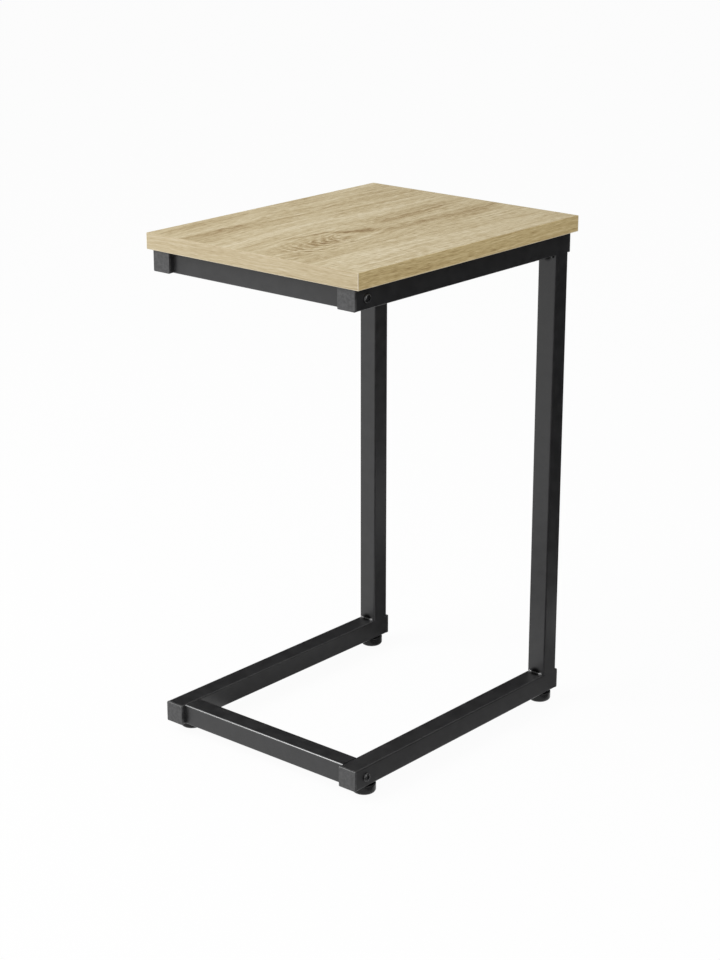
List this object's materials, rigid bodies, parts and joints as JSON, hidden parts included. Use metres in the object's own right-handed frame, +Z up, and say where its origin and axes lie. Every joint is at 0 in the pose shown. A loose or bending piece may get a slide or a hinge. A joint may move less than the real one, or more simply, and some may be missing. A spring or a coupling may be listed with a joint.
{
  "type": "c shaped side table",
  "caption": "C-shaped side table: rectangular light oak-print top on a black square-tube frame whose posts stand at the rear, open at the front, on screw-adjustable feet.",
  "frame": {"origin": "on the floor, under the middle of the table top", "axes": "+Z up, +Y towards the rear posts, +X towards the table's right side seen from the open front"},
  "size_m": [0.316, 0.398, 0.616],
  "materials": {
    "oak_board": "light oak print on chipboard, matt with a fine grain emboss",
    "edge_band": "oak-print edge band, matt",
    "frame_paint": "black powder coat, semi-matt with a fine texture",
    "cap_plastic": "black moulded plastic, dull",
    "black_bolt": "blackened steel, semi-gloss",
    "zinc_steel": "bright zinc plate",
    "foot_plastic": "black moulded plastic, satin"
  },
  "bodies": {
    "frame": {"table_top_core": "oak_board", "front_edge_band": "edge_band", "rear_edge_band": "edge_band", "left_edge_band": "edge_band", "right_edge_band": "edge_band", "left_top_rail": "frame_paint", "left_post": "frame_paint", "left_bottom_rail": "frame_paint", "left_frame_welds": "frame_paint", "left_top_front_cap": "cap_plastic", "left_top_rear_cap": "cap_plastic", "left_bottom_front_cap": "cap_plastic", "left_bottom_rear_cap": "cap_plastic", "right_top_rail": "frame_paint", "right_post": "frame_paint", "right_bottom_rail": "frame_paint", "right_frame_welds": "frame_paint", "right_top_front_cap": "cap_plastic", "right_top_rear_cap": "cap_plastic", "right_bottom_front_cap": "cap_plastic", "right_bottom_rear_cap": "cap_plastic", "front_top_crossbar": "frame_paint", "front_bottom_crossbar": "frame_paint", "crossbar_bolts": "black_bolt", "crossbar_nut_plates": "zinc_steel", "table_top_screws": "zinc_steel", "foot_rivet_nuts": "zinc_steel"},
    "left_front_foot_stud": {"left_front_foot_stud": "zinc_steel"},
    "left_front_foot_pad": {"left_front_foot_pad": "foot_plastic"},
    "left_rear_foot_stud": {"left_rear_foot_stud": "zinc_steel"},
    "left_rear_foot_pad": {"left_rear_foot_pad": "foot_plastic"},
    "right_front_foot_stud": {"right_front_foot_stud": "zinc_steel"},
    "right_front_foot_pad": {"right_front_foot_pad": "foot_plastic"},
    "right_rear_foot_stud": {"right_rear_foot_stud": "zinc_steel"},
    "right_rear_foot_pad": {"right_rear_foot_pad": "foot_plastic"}
  },
  "joints": [
    {"name": "left_front_foot_travel", "type": "slide", "parent": "frame", "child": "left_front_foot_stud", "axis": [0, 0, -1], "range_m": [0, 0.005]},
    {"name": "left_front_foot_turn", "type": "hinge", "parent": "left_front_foot_stud", "child": "left_front_foot_pad", "pos_m": [-0.1385, -0.166, 0], "axis": [0, 0, -1], "range_deg": [0, 1440]},
    {"name": "left_rear_foot_travel", "type": "slide", "parent": "frame", "child": "left_rear_foot_stud", "axis": [0, 0, -1], "range_m": [0, 0.005]},
    {"name": "left_rear_foot_turn", "type": "hinge", "parent": "left_rear_foot_stud", "child": "left_rear_foot_pad", "pos_m": [-0.1385, 0.174, 0], "axis": [0, 0, -1], "range_deg": [0, 1440]},
    {"name": "right_front_foot_travel", "type": "slide", "parent": "frame", "child": "right_front_foot_stud", "axis": [0, 0, -1], "range_m": [0, 0.005]},
    {"name": "right_front_foot_turn", "type": "hinge", "parent": "right_front_foot_stud", "child": "right_front_foot_pad", "pos_m": [0.1385, -0.166, 0], "axis": [0, 0, -1], "range_deg": [0, 1440]},
    {"name": "right_rear_foot_travel", "type": "slide", "parent": "frame", "child": "right_rear_foot_stud", "axis": [0, 0, -1], "range_m": [0, 0.005]},
    {"name": "right_rear_foot_turn", "type": "hinge", "parent": "right_rear_foot_stud", "child": "right_rear_foot_pad", "pos_m": [0.1385, 0.174, 0], "axis": [0, 0, -1], "range_deg": [0, 1440]}
  ],
  "couplings": [
    {"joint": "left_front_foot_travel", "follows": "left_front_foot_turn", "m_per_rad": 0.00019894},
    {"joint": "left_rear_foot_travel", "follows": "left_rear_foot_turn", "m_per_rad": 0.00019894},
    {"joint": "right_front_foot_travel", "follows": "right_front_foot_turn", "m_per_rad": 0.00019894},
    {"joint": "right_rear_foot_travel", "follows": "right_rear_foot_turn", "m_per_rad": 0.00019894}
  ]
}
